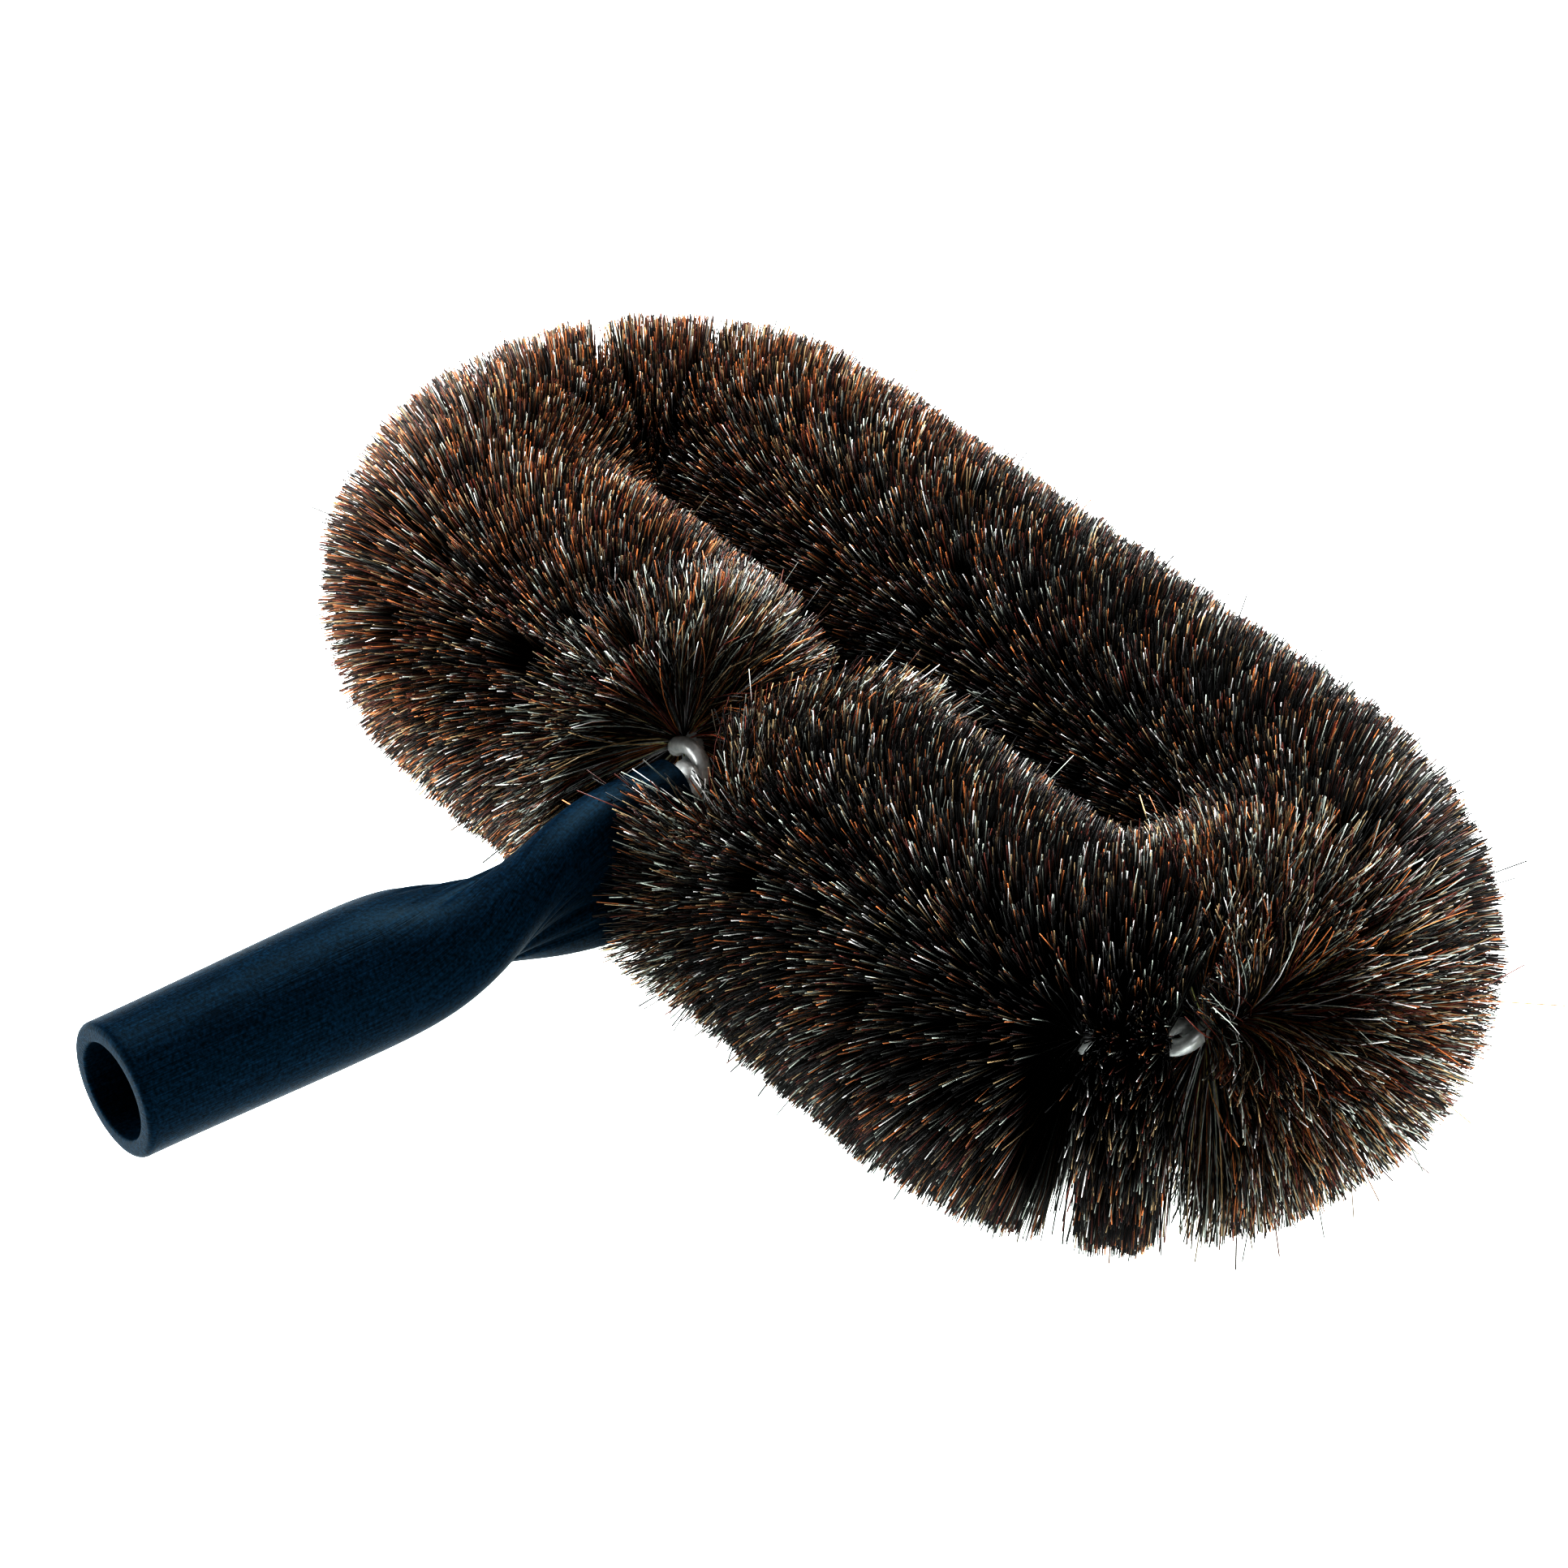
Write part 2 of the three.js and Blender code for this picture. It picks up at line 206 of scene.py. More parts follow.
# The camera, in radians and metres but for its lens, and the point that it looks at, from the ring's
# centre
CAMERA_AZIMUTH = math.radians(53.3)
CAMERA_ELEVATION = math.radians(36.4)
CAMERA_ROLL = math.radians(-0.7)
CAMERA_DISTANCE = 1.106
CAMERA_LENS = 114.3  # millimetres
AIM_RIGHT = -0.0216
AIM_UP = -0.0081

FLOOR_HALF_WIDTH = 3
WORLD_LIGHT = 0.08
WORLD_SEEN = 1.0  # how bright the world looks to the camera


def box_of(*nodes):
    """Lowest and highest corner of some CAD nodes together."""
    corners = np.array([[tuple(c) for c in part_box(node)] for node in nodes])
    return corners[:, 0].min(axis=0), corners[:, 1].max(axis=0)


bristle_low, bristle_high = box_of(*(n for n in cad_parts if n.startswith("bristles_")))
socket_low, socket_high = box_of("pole_socket")

CENTRE = (bristle_low + bristle_high) / 2  # of the ring
BRISTLE_RADIUS = (bristle_high[2] - bristle_low[2]) / 2
HALF_LENGTH = (bristle_high[0] - bristle_low[0]) / 2 - BRISTLE_RADIUS
HALF_WIDTH = (bristle_high[1] - bristle_low[1]) / 2 - BRISTLE_RADIUS
STRAIGHT_HALF = HALF_LENGTH - HALF_WIDTH
SOCKET_HEIGHT = (socket_low[2] + socket_high[2]) / 2 - CENTRE[2]  # of its axis above the ring's plane
SOCKET_MOUTH = socket_low[1] - CENTRE[1]
SOCKET_END = socket_high[1] - CENTRE[1]
BLADE_HALF_HEIGHT = (socket_high[2] - socket_low[2]) / 2
LEFT_START = -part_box("bristles_near_left_1")[1][0] - BUNCH_GAP / 2
RIGHT_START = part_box(f"bristles_near_right_{STRETCHES['near_right']}")[0][0] - BUNCH_GAP / 2


# --- Lines and meshes -------------------------------------------------------------------------------


def unit(vectors):
    """Vectors of length 1, and those without a length as they are."""
    lengths = np.linalg.norm(vectors, axis=-1, keepdims=True)
    return vectors / np.where(lengths > 0, lengths, 1)


def smoothstep(value, start, end):
    t = np.clip((value - start) / (end - start), 0, 1)
    return t * t * (3 - 2 * t)


def radial(outward, up, around):
    """Directions at these angles round the wires, from straight out of the ring."""
    return outward * np.cos(around)[:, None] + up * np.sin(around)[:, None]


def lengths_along(points):
    """How far along a line each of its points is."""
    return np.concatenate([[0], np.cumsum(np.linalg.norm(np.diff(points, axis=0), axis=1))])


def curve_through(points, samples_per_span=60):
    """Points along a centripetal Catmull-Rom curve, which is the curve that the CAD wires follow."""
    points = np.array(points, float)
    before = 2 * points[0] - points[1]
    after = 2 * points[-1] - points[-2]
    points = np.vstack([before, points, after])
    knots = np.concatenate([[0], np.cumsum(np.linalg.norm(np.diff(points, axis=0), axis=1) ** 0.5)])
    placed = []
    for i in range(1, len(points) - 2):
        k0, k1, k2, k3 = knots[i - 1 : i + 3]
        p0, p1, p2, p3 = points[i - 1 : i + 3]
        k = np.linspace(k1, k2, samples_per_span, endpoint=False)[:, None]
        a1 = (p0 * (k1 - k) + p1 * (k - k0)) / (k1 - k0)
        a2 = (p1 * (k2 - k) + p2 * (k - k1)) / (k2 - k1)
        a3 = (p2 * (k3 - k) + p3 * (k - k2)) / (k3 - k2)
        b1 = (a1 * (k2 - k) + a2 * (k - k0)) / (k2 - k0)
        b2 = (a2 * (k3 - k) + a3 * (k - k1)) / (k3 - k1)
        placed.append((b1 * (k2 - k) + b2 * (k - k1)) / (k2 - k1))
    return np.vstack([*placed, points[-2:-1]])


def lead(side, height):
    """The way from a wire end in the socket to a straight side of the ring, as in the CAD model."""
    ways = [
        (0, SOCKET_END - WIRE_GRIP, height),
        (0, SOCKET_END - WIRE_GRIP / 2, height),
        (0, SOCKET_END - 0.002, height),
        (0.003, SOCKET_END + 0.006, height),
        (0.012, SOCKET_END + 0.012, height),
        (0.026, -HALF_WIDTH - 0.002, height * 0.7),
        (0.048, -HALF_WIDTH, height * 0.15),
        (0.068, -HALF_WIDTH, 0),
    ]
    return [(side * x, y, z) for x, y, z in ways]


def bend(side, steps=12):
    """Points round one end of the ring, in the direction that the wires run."""
    turns = [math.pi * i / steps for i in range(steps + 1)]
    return [
        (side * (STRAIGHT_HALF + HALF_WIDTH * math.sin(turn)), side * HALF_WIDTH * math.cos(turn), 0)
        for turn in turns
    ]


class Line:
    """A line about the ring's centre, by the length along the wires."""

    def __init__(self, run, places):
        self.run = run
        self.places = places
        self.tangents = unit(np.gradient(places, axis=0))

    def at(self, run):
        """Places, tangents, and the ways out of the ring and up, at these lengths."""
        place, tangent = (
            np.stack([np.interp(run, self.run, values[:, i]) for i in range(3)], axis=-1)
            for values in (self.places, self.tangents)
        )
        tangent = unit(tangent)
        outward = unit(np.cross(WORLD_UP, tangent))
        return place, tangent, outward, np.cross(tangent, outward)

    def where(self, x, far=False):
        """The length where the line passes this x on the near or far straight side."""
        side = (self.places[:, 1] > 0) == far
        clear_of_socket = self.places[:, 1] > SOCKET_END
        gaps = np.where(side & clear_of_socket, np.abs(self.places[:, 0] - x), np.inf)
        return self.run[np.argmin(gaps)]


def wire_path():
    """The centre line of the twisted pair."""
    corners = lead(-1, SOCKET_HEIGHT + WIRE_HEIGHT) + bend(-1)
    corners += [(x, HALF_WIDTH, 0) for x in (-0.040, 0, 0.040)] + bend(1)
    corners += lead(1, SOCKET_HEIGHT - WIRE_HEIGHT)[::-1]
    dense = curve_through(corners)
    dense_run = lengths_along(dense)
    run = np.arange(0, dense_run[-1], PATH_STEP)
    return Line(run, np.stack([np.interp(run, dense_run, dense[:, i]) for i in range(3)], axis=1))


def trim_line(path):
    """The middle of the trimmed bristles, which stays straight where the wires rise to the socket."""
    places = path.places.copy()
    beside_socket = (places[:, 1] < 0) & (np.abs(places[:, 0]) < STRAIGHT_HALF)
    places[beside_socket, 1] = -HALF_WIDTH
    places[beside_socket, 2] = 0
    return Line(path.run, places)


path = wire_path()
trim = trim_line(path)


def mesh_object(name, vertices, faces, smooth=True):
    """A mesh object from vertices and faces of any one size each, given as a list of index arrays."""
    mesh = bpy.data.meshes.new(name)
    sizes = np.concatenate([np.full(len(group), group.shape[1], np.int32) for group in faces])
    corners = np.concatenate([group.ravel() for group in faces]).astype(np.int32)
    mesh.vertices.add(len(vertices))
    mesh.vertices.foreach_set("co", (vertices + CENTRE).astype(np.float32).ravel())
    mesh.loops.add(len(corners))
    mesh.loops.foreach_set("vertex_index", corners)
    mesh.polygons.add(len(sizes))
    mesh.polygons.foreach_set("loop_start", np.concatenate([[0], np.cumsum(sizes)[:-1]]).astype(np.int32))
    mesh.polygons.foreach_set("loop_total", sizes)
    mesh.polygons.foreach_set("use_smooth", np.full(len(sizes), smooth))
    mesh.update(calc_edges=True)
    piece = bpy.data.objects.new(name, mesh)
    bpy.context.scene.collection.objects.link(piece)
    return piece


def unwrap(piece, name, uv):
    """A UV layer with these places, in the order of the faces' corners."""
    layer = piece.data.uv_layers.new(name=name)
    layer.uv.foreach_set("vector", uv.astype(np.float32).ravel())


def place_piece(piece, material, slot, *nodes):
    """Gives a piece its material, and the CAD nodes that it stands for; its slot is not used."""
    piece.data.materials.append(material)
    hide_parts(*nodes)
    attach(piece, "root")


# --- Material nodes ---------------------------------------------------------------------------------


def node_tree(name):
    """A new material with its node tree and its Principled BSDF."""
    material = bpy.data.materials.new(name)
    material.use_nodes = True
    return material, material.node_tree, material.node_tree.nodes["Principled BSDF"]


def object_place(tree):
    return tree.nodes.new("ShaderNodeTexCoord").outputs["Object"]


def noise(tree, place, scale, detail):
    texture = tree.nodes.new("ShaderNodeTexNoise")
    texture.inputs["Scale"].default_value = scale
    texture.inputs["Detail"].default_value = detail
    tree.links.new(place, texture.inputs["Vector"])
    return texture.outputs["Fac"]


def spread(tree, value, low, high, start=0, end=1):
    """A value between start and end, spread out between low and high."""
    spreading = tree.nodes.new("ShaderNodeMapRange")
    spreading.inputs["From Min"].default_value = start
    spreading.inputs["From Max"].default_value = end
    spreading.inputs["To Min"].default_value = low
    spreading.inputs["To Max"].default_value = high
    tree.links.new(value, spreading.inputs["Value"])
    return spreading.outputs["Result"]


def ramp(tree, value, stops):
    """A colour for a value, from two stops of a position and a colour."""
    colours = tree.nodes.new("ShaderNodeValToRGB")
    for element, (position, colour) in zip(colours.color_ramp.elements, stops):
        element.position = position
        element.color = (*colour, 1)
    tree.links.new(value, colours.inputs["Fac"])
    return colours.outputs["Color"]


def multiplied(tree, colour, factor):
    product = tree.nodes.new("ShaderNodeMix")
    product.data_type = "RGBA"
    product.blend_type = "MULTIPLY"
    product.inputs["Factor"].default_value = 1
    tree.links.new(colour, product.inputs["A"])
    tree.links.new(factor, product.inputs["B"])
    return product.outputs["Result"]


# --- Bristles ---------------------------------------------------------------------------------------


def bunch_cuts():
    """Where along the path each bunch starts and ends, by its node's name."""
    left_bend = path.where(-STRAIGHT_HALF)
    right_bend = path.where(STRAIGHT_HALF, far=True)
    later_cuts = [FIRST_BEND_BUNCH + i * BEND_BUNCH for i in range(STRETCHES["left_bend"] - 1)]
    bend_lengths = np.radians([0, *later_cuts, 180]) * HALF_WIDTH
    left_ends = path.where(-LEFT_START), left_bend
    far_ends = path.where(-STRAIGHT_HALF, far=True), right_bend
    right_ends = path.where(STRAIGHT_HALF), path.where(RIGHT_START)
    cuts = {
        "near_left": np.linspace(*left_ends, STRETCHES["near_left"] + 1),
        "left_bend": left_bend + bend_lengths,
        "far_side": np.linspace(*far_ends, STRETCHES["far_side"] + 1),
        "right_bend": right_bend + bend_lengths,
        "near_right": np.linspace(*right_ends, STRETCHES["near_right"] + 1),
    }
    spans = {}
    for stretch, ends in cuts.items():
        for i in range(STRETCHES[stretch]):
            spans[f"bristles_{stretch}_{i + 1}"] = (ends[i], ends[i + 1])
    return spans


class Parting:
    """A cone with its foot on the wires, out of which every hair that crosses it is combed."""

    def __init__(self, run, axis, half_opening):
        self.foot = path.at(np.array([run]))[0][0]
        self.axis = unit(np.array(axis, float))
        self.widening = math.tan(half_opening)

    def comb(self, roots, tips):
        """Swings hairs about their roots until they pass the cone, without changing their length."""
        arm = tips - roots
        to_foot = self.foot - roots
        along_both = arm @ self.axis
        squared = (arm**2).sum(axis=1)
        cross = np.maximum(squared - along_both**2, 1e-12)
        share = ((arm * to_foot).sum(axis=1) - along_both * (to_foot @ self.axis)) / cross
        share = np.clip(share, COMBED_FROM, 1)[:, None]
        nearest = roots + share * arm
        height = (nearest - self.foot) @ self.axis
        aside = nearest - self.foot - height[:, None] * self.axis
        gap = np.linalg.norm(aside, axis=1)
        clear = np.maximum(height, 0) * self.widening
        limit = clear * PARTING_SPREAD
        crosses = (gap < limit) & (np.linalg.norm(to_foot, axis=1) < PARTING_REACH)
        push = clear - gap / PARTING_SPREAD
        swung = arm + (aside / (gap[:, None] + 1e-9)) * push[:, None] / share
        swung = unit(swung) * np.sqrt(squared)[:, None]
        return np.where(crosses[:, None], roots + swung, tips)


def make_partings(spans):
    """A narrow parting where each two bunches meet, and the wide ones that show the wires."""
    random = np.random.default_rng(PARTING_SEED)
    partings = []
    for start, _ in spans.values():
        _, _, outward, up = path.at(np.array([start]))
        lean = random.uniform(*PARTING_LEAN)
        opening = random.uniform(*PARTING_OPENING)
        axis = outward[0] * math.cos(lean) + up[0] * math.sin(lean)
        partings.append(Parting(start, axis, math.radians(opening)))
    for node, further, opening in WIDE_PARTINGS:
        partings.append(Parting(spans[node][0] + further, OPEN_SIDE, math.radians(opening)))
    return partings


def hair_places(start, end, in_bend, random):
    """How far along its bunch each hair is, as a share, and its angle round the wires."""
    count = int((end - start) * HAIRS_PER_METRE)
    share = random.random(count)
    around = random.uniform(0, 2 * math.pi, count)
    if in_bend:
        kept = (np.cos(around) > CROWDED_SIDE) | (random.random(count) > INNER_BEND_THINNING)
        share, around = share[kept], around[kept]
    return share, around


def root_and_tip_shares(node, in_bend, random):
    """The shares of a bunch's length where its roots start and end, and where its tips start and end."""
    if node in LEANING_BUNCHES:
        return LEANING_BUNCHES[node]
    gather = BEND_ROOT_GATHER if in_bend else STRAIGHT_ROOT_GATHER
    fill = random.uniform(*BEND_TIP_FILL) if in_bend else 1
    return 0.5 - gather / 2, 0.5 + gather / 2, 0.5 - fill / 2, 0.5 + fill / 2


def root_and_tip_runs(node, start, end, share, around, random):
    """Where along the wires each root and tip is, and the ends between which the tips of a bend stay."""
    in_bend = "bend" in node
    cuts = start + (end - start) * np.array(root_and_tip_shares(node, in_bend, random))
    root_start, root_end, tip_start, tip_end = cuts
    root_run = root_start + (root_end - root_start) * share
    if in_bend:
        closed = smoothstep(np.sin(around), *WEDGE_CLOSING) if node in LEANING_BUNCHES else 0
        ragged = random.exponential(WEDGE_RAGGEDNESS, len(share))
        tip_start = tip_start + (start - tip_start) * closed - ragged
        tip_end = tip_end + (end - tip_end) * closed + ragged
    scatter = TIP_SCATTER * (BEND_SCATTER if in_bend else 1)
    tip_run = tip_start + (tip_end - tip_start) * share + random.normal(0, scatter, len(share))
    return root_run, tip_run, tip_start, tip_end


def fan_over_socket(node, start, end, share, around, tip_run, random):
    """For a bunch beside the socket: where its roots and tips are, how far each hair leans along the
    wires, and which hairs are on the face at the free end, where painted light goes."""
    count = len(share)
    direction, root_share, most_lean, lean_around = SOCKET_BUNCHES[node]
    free_end = start if direction < 0 else end
    away = np.abs(start + (end - start) * share - free_end)
    root_run = free_end - direction * away * root_share
    lean = most_lean * np.clip(1 - away / FAN_REACH, 0, 1) * random.uniform(*LEAN_VARIATION, count)
    crossing = (away < FAN_REACH) & (random.random(count) < CROSSING_SHARE)
    lean += crossing * random.uniform(0, CROSSING_LEAN, count)
    lean *= np.clip(LEAN_ALL_ROUND + LEAN_ONE_SIDE * np.cos(around - lean_around), *LEAN_LIMITS)
    tip_run = free_end - direction * np.abs(tip_run - free_end)
    return root_run, tip_run, lean * direction, away < END_FACE


def tufts(run, around, in_bend, jitter):
    """Draws each tip towards its tuft's middle, and says how much longer the tuft is and its tone."""
    size = TUFT_SIZE * (BEND_TUFT if in_bend else 1)
    turn = 2 * math.pi / TUFT_ROWS
    row = np.floor(around / turn).astype(int) % TUFT_ROWS
    shift = jitter[0, row, 0]
    column = np.floor(run / size + shift).astype(int)
    own = jitter[column % TUFT_COLUMNS, row]
    middle_run = (column - shift + 0.5 + TUFT_DISPLACEMENT * (own[:, 0] - 0.5)) * size
    middle_around = (row + 0.5 + TUFT_DISPLACEMENT * (own[:, 1] - 0.5)) * turn
    pull = TUFT_PULL * (0.5 + own[:, 2])
    run = run + (middle_run - run) * pull
    around = around + (middle_around - around) * pull
    return run, around, TUFT_TRIM * (2 * own[:, 2] - 1), own[:, 3]


def keep_to_own_side(tips, around, run, random):
    """Turns tips that would pass the ring's middle plane, or a bend's own centre, up or down along it."""
    middle, _, outward, _ = trim.at(run)
    bend_centre = middle - outward * HALF_WIDTH
    beyond = random.uniform(*MIDDLE_FRAYING, len(tips)) - ((tips - bend_centre) * outward).sum(axis=1)
    beyond = np.maximum(beyond, 0)[:, None]
    tips = tips + outward * beyond
    tips[:, 2] += MIDDLE_RISE * beyond[:, 0] * np.sign(np.sin(around))
    return tips


def trimmed_tips(run, around, longer, is_open, random):
    """The tips of the hairs on the trimmed outline, apart from the strays."""
    centre, _, outward, up = trim.at(run)
    reach = BRISTLE_RADIUS + longer + random.normal(0, TRIM, len(run))
    tips = centre + radial(outward, up, around) * reach[:, None]
    stray = random.random(len(run)) < (OPEN_STRAY_SHARE if is_open else STRAY_SHARE)
    tips[stray] += random.normal(0, OPEN_STRAY_REACH if is_open else STRAY_REACH, (stray.sum(), 3))
    return keep_to_own_side(tips, around, run, random)


def comb_and_clip(roots, tips, partings):
    """Combs the hairs out of every parting, and keeps them near the bristles' box and off the floor."""
    for parting in partings:
        tips = parting.comb(roots, tips)
    tips = np.clip(tips, bristle_low - CENTRE - LONGEST_STRAY, bristle_high - CENTRE + LONGEST_STRAY)
    tips[:, 2] = np.maximum(tips[:, 2], -BRISTLE_RADIUS)
    return tips


def grow(node, start, end, jitter, partings, random):
    """Root, middle control point and tip of every hair of a bunch, with its tone and painted light."""
    in_bend = "bend" in node
    is_open = node in OPEN_BUNCHES
    share, around = hair_places(start, end, in_bend, random)
    root_run, tip_run, tip_start, tip_end = root_and_tip_runs(node, start, end, share, around, random)
    lean, in_front = np.zeros(len(share)), 0
    if node in SOCKET_BUNCHES:
        fanned = fan_over_socket(node, start, end, share, around, tip_run, random)
        root_run, tip_run, lean, in_front = fanned
    tip_run, tip_around, longer, tone = tufts(tip_run, around, in_bend, jitter)
    tip_around += random.normal(0, OPEN_SCATTER if is_open else AROUND_SCATTER, len(share))
    if in_bend:
        tip_run = np.clip(tip_run, tip_start, tip_end)

    axis, tangent, outward, up = path.at(root_run)
    straight_out = radial(outward, up, around)
    roots = axis + straight_out * ROOT_DEPTH
    arm = trimmed_tips(tip_run, tip_around, longer, is_open, random) - roots
    length = np.linalg.norm(arm, axis=1, keepdims=True)
    leaning = arm / length * np.cos(lean)[:, None] + tangent * np.sin(lean)[:, None]
    tips = comb_and_clip(roots, roots + leaning * length, partings)
    bow = random.normal(0, OPEN_BOW if is_open else BOW, (len(share), 3)) * length
    halfway = unit(ROOT_STIFFNESS * straight_out + (1 - ROOT_STIFFNESS) * unit(tips - roots))
    controls = roots + length * 0.5 * halfway + bow
    # the front hairs at the free end get painted light on top of their tuft's tone
    return roots, controls, tips, tone + END_FACE_PAINTED_LIGHT * in_front


def hair_colours(node, tips, tone, random):
    """One colour for each hair, from the palette of its place along the ring."""
    count = len(tips)
    fade = np.clip((tips[:, 0] - LEFT_FADE[0]) / (LEFT_FADE[1] - LEFT_FADE[0]), 0, 1)
    palette = np.array([colour for colour, *_ in HAIR_COLOURS])
    left, elsewhere, open_bunch = np.cumsum([shares for _, *shares in HAIR_COLOURS], axis=0).T
    steps = left + (elsewhere - left) * fade[:, None]
    if node in OPEN_BUNCHES:
        steps = np.tile(open_bunch, (count, 1))
    chosen = (random.random(count)[:, None] > steps[:, :-1]).sum(axis=1)
    shade = DARKEST_HAIR + HAIR_LIGHTNESS * random.random(count) ** 2
    # the tone includes painted light on the front hairs at a socket bunch's free end
    shade *= DARKEST_TUFT + TUFT_LIGHTNESS * tone
    return palette[chosen] * shade[:, None]


def hair_vertices(roots, controls, tips, places, random):
    """A ring of vertices at each of these places along every hair, which tapers to its tip."""
    count = len(roots)
    t = places[None, :, None]
    points = (1 - t) ** 2 * roots[:, None] + 2 * t * (1 - t) * controls[:, None] + t**2 * tips[:, None]
    tangents = unit(2 * (1 - t) * (controls - roots)[:, None] + 2 * t * (tips - controls)[:, None])
    across = unit(np.cross(tangents, unit(random.normal(size=(count, 1, 3)))))
    other = np.cross(tangents, across)
    radius = random.uniform(*HAIR_VARIATION, (count, 1, 1)) * HAIR_RADIUS * (1 - HAIR_TAPER * t)
    turn = 2 * math.pi * np.arange(HAIR_SIDES) / HAIR_SIDES
    ring = across[:, :, None] * np.cos(turn)[:, None] + other[:, :, None] * np.sin(turn)[:, None]
    return (points[:, :, None] + ring * radius[:, :, None]).reshape(-1, 3)


def hair_faces(count, rings):
    """The faces of every hair's sides and ends, and where their corners are on one hair's patch."""
    sides, side_uv = [], []
    for j in range(rings - 1):
        for k in range(HAIR_SIDES):
            here, following = j * HAIR_SIDES, (j + 1) * HAIR_SIDES
            turned = (k + 1) % HAIR_SIDES
            sides.append([here + k, here + turned, following + turned, following + k])
            side_uv += [(k, j), (k + 1, j), (k + 1, j + 1), (k, j + 1)]
    first_ring = np.arange(HAIR_SIDES)
    ends = [first_ring[::-1], (rings - 1) * HAIR_SIDES + first_ring]
    end_uv = [(k / HAIR_SIDES, end) for end in (0, 1) for k in range(HAIR_SIDES)]
    first = (np.arange(count) * rings * HAIR_SIDES)[:, None, None]
    faces = [(first + np.array(group)).reshape(-1, len(group[0])) for group in (sides, ends)]
    return faces, [np.array(side_uv) / (HAIR_SIDES, rings - 1), np.array(end_uv)]


def paint_hairs(piece, colours, painted_light_and_shade):
    """A colour at each vertex: its hair's own, with painted light and shade along the hair."""
    # the hairs' colours times the painted light and shade at each ring
    tint = np.minimum(colours[:, None, None] * painted_light_and_shade[None, :, None, None], PALEST)
    tint = np.broadcast_to(tint, (len(colours), len(painted_light_and_shade), HAIR_SIDES, 3)).reshape(-1, 3)
    opaque = np.ones((len(tint), 1))
    layer = piece.data.color_attributes.new("hair_colour_and_painted_light", "FLOAT_COLOR", "POINT")
    layer.data.foreach_set("color", np.hstack([tint, opaque]).astype(np.float32).ravel())


def unwrap_hairs(piece, count, corner_uv):
    """A patch of the bake for each hair, in a square grid."""
    grid = math.ceil(math.sqrt(count))
    patch = np.stack([np.arange(count) % grid, np.arange(count) // grid], axis=1)[:, None]
    uv = [(patch + UV_MARGIN + (1 - 2 * UV_MARGIN) * part) / grid for part in corner_uv]
    unwrap(piece, "OFBake", np.vstack([part.reshape(-1, 2) for part in uv]))


def hair_rings(node):
    """Where the rings of a bunch's hairs are, and the painted light and shade there."""
    if node in FAN_BUNCHES:
        return np.array(FAN_RINGS_PAINTED_LIGHT).T
    return np.array(OPEN_RINGS_PAINTED_LIGHT if node in OPEN_BUNCHES else PLAIN_RINGS_PAINTED_LIGHT_AND_SHADE).T


def hair_mesh(node, roots, controls, tips, colours, random):
    """Closed three-sided tubes along the hairs of a bunch."""
    places, painted_light_and_shade = hair_rings(node)
    vertices = hair_vertices(roots, controls, tips, places, random)
    faces, corner_uv = hair_faces(len(roots), len(places))
    piece = mesh_object(f"hairs_{node.removeprefix('bristles_')}", vertices, faces)
    paint_hairs(piece, colours, painted_light_and_shade)
    unwrap_hairs(piece, len(roots), corner_uv)
    return piece


def hair_material():
    material, tree, shader = node_tree("bristle_mix")
    colour = tree.nodes.new("ShaderNodeAttribute")
    # each hair's own colour, with painted light and shade along it
    colour.attribute_name = "hair_colour_and_painted_light"
    streaks = noise(tree, object_place(tree), scale=900, detail=1)
    tinted = multiplied(tree, colour.outputs["Color"], spread(tree, streaks, 0.6, 1.4))
    tree.links.new(tinted, shader.inputs["Base Color"])
    shader.inputs["Roughness"].default_value = 0.42
    shader.inputs["Specular IOR Level"].default_value = 0.35
    return material


def make_bristles():
    material = hair_material()
    jitter = np.random.default_rng(SEED).random((TUFT_COLUMNS, TUFT_ROWS, 4))
    spans = bunch_cuts()
    partings = make_partings(spans)
    for index, (node, (start, end)) in enumerate(spans.items()):
        random = np.random.default_rng(SEED + index)
        roots, controls, tips, tone = grow(node, start, end, jitter, partings, random)
        colours = hair_colours(node, tips, tone, random)
        piece = hair_mesh(node, roots, controls, tips, colours, random)
        place_piece(piece, material, "bristle_mix", node)


# --- Wires ------------------------------------------------------------------------------------------


def tube_faces(rings, sides):
    """Quads round a tube of rings of vertices, and its two flat ends."""
    quads = []
    for j in range(rings - 1):
        here = j * sides + np.arange(sides)
        turned = j * sides + (np.arange(sides) + 1) % sides
        quads.append(np.stack([here, turned, turned + sides, here + sides], axis=1))
    ends = np.array([np.arange(sides)[::-1], (rings - 1) * sides + np.arange(sides)])
    return [np.vstack(quads), ends]


def wire_material():
    material, tree, shader = node_tree("galvanised_wire")
    spangle = noise(tree, object_place(tree), scale=700, detail=4)
    zinc = ramp(tree, spangle, [(0.3, (0.60, 0.62, 0.61)), (0.7, (0.86, 0.88, 0.87))])
    tree.links.new(zinc, shader.inputs["Base Color"])
    shader.inputs["Metallic"].default_value = 0.3
    shader.inputs["Roughness"].default_value = 0.36
    return material


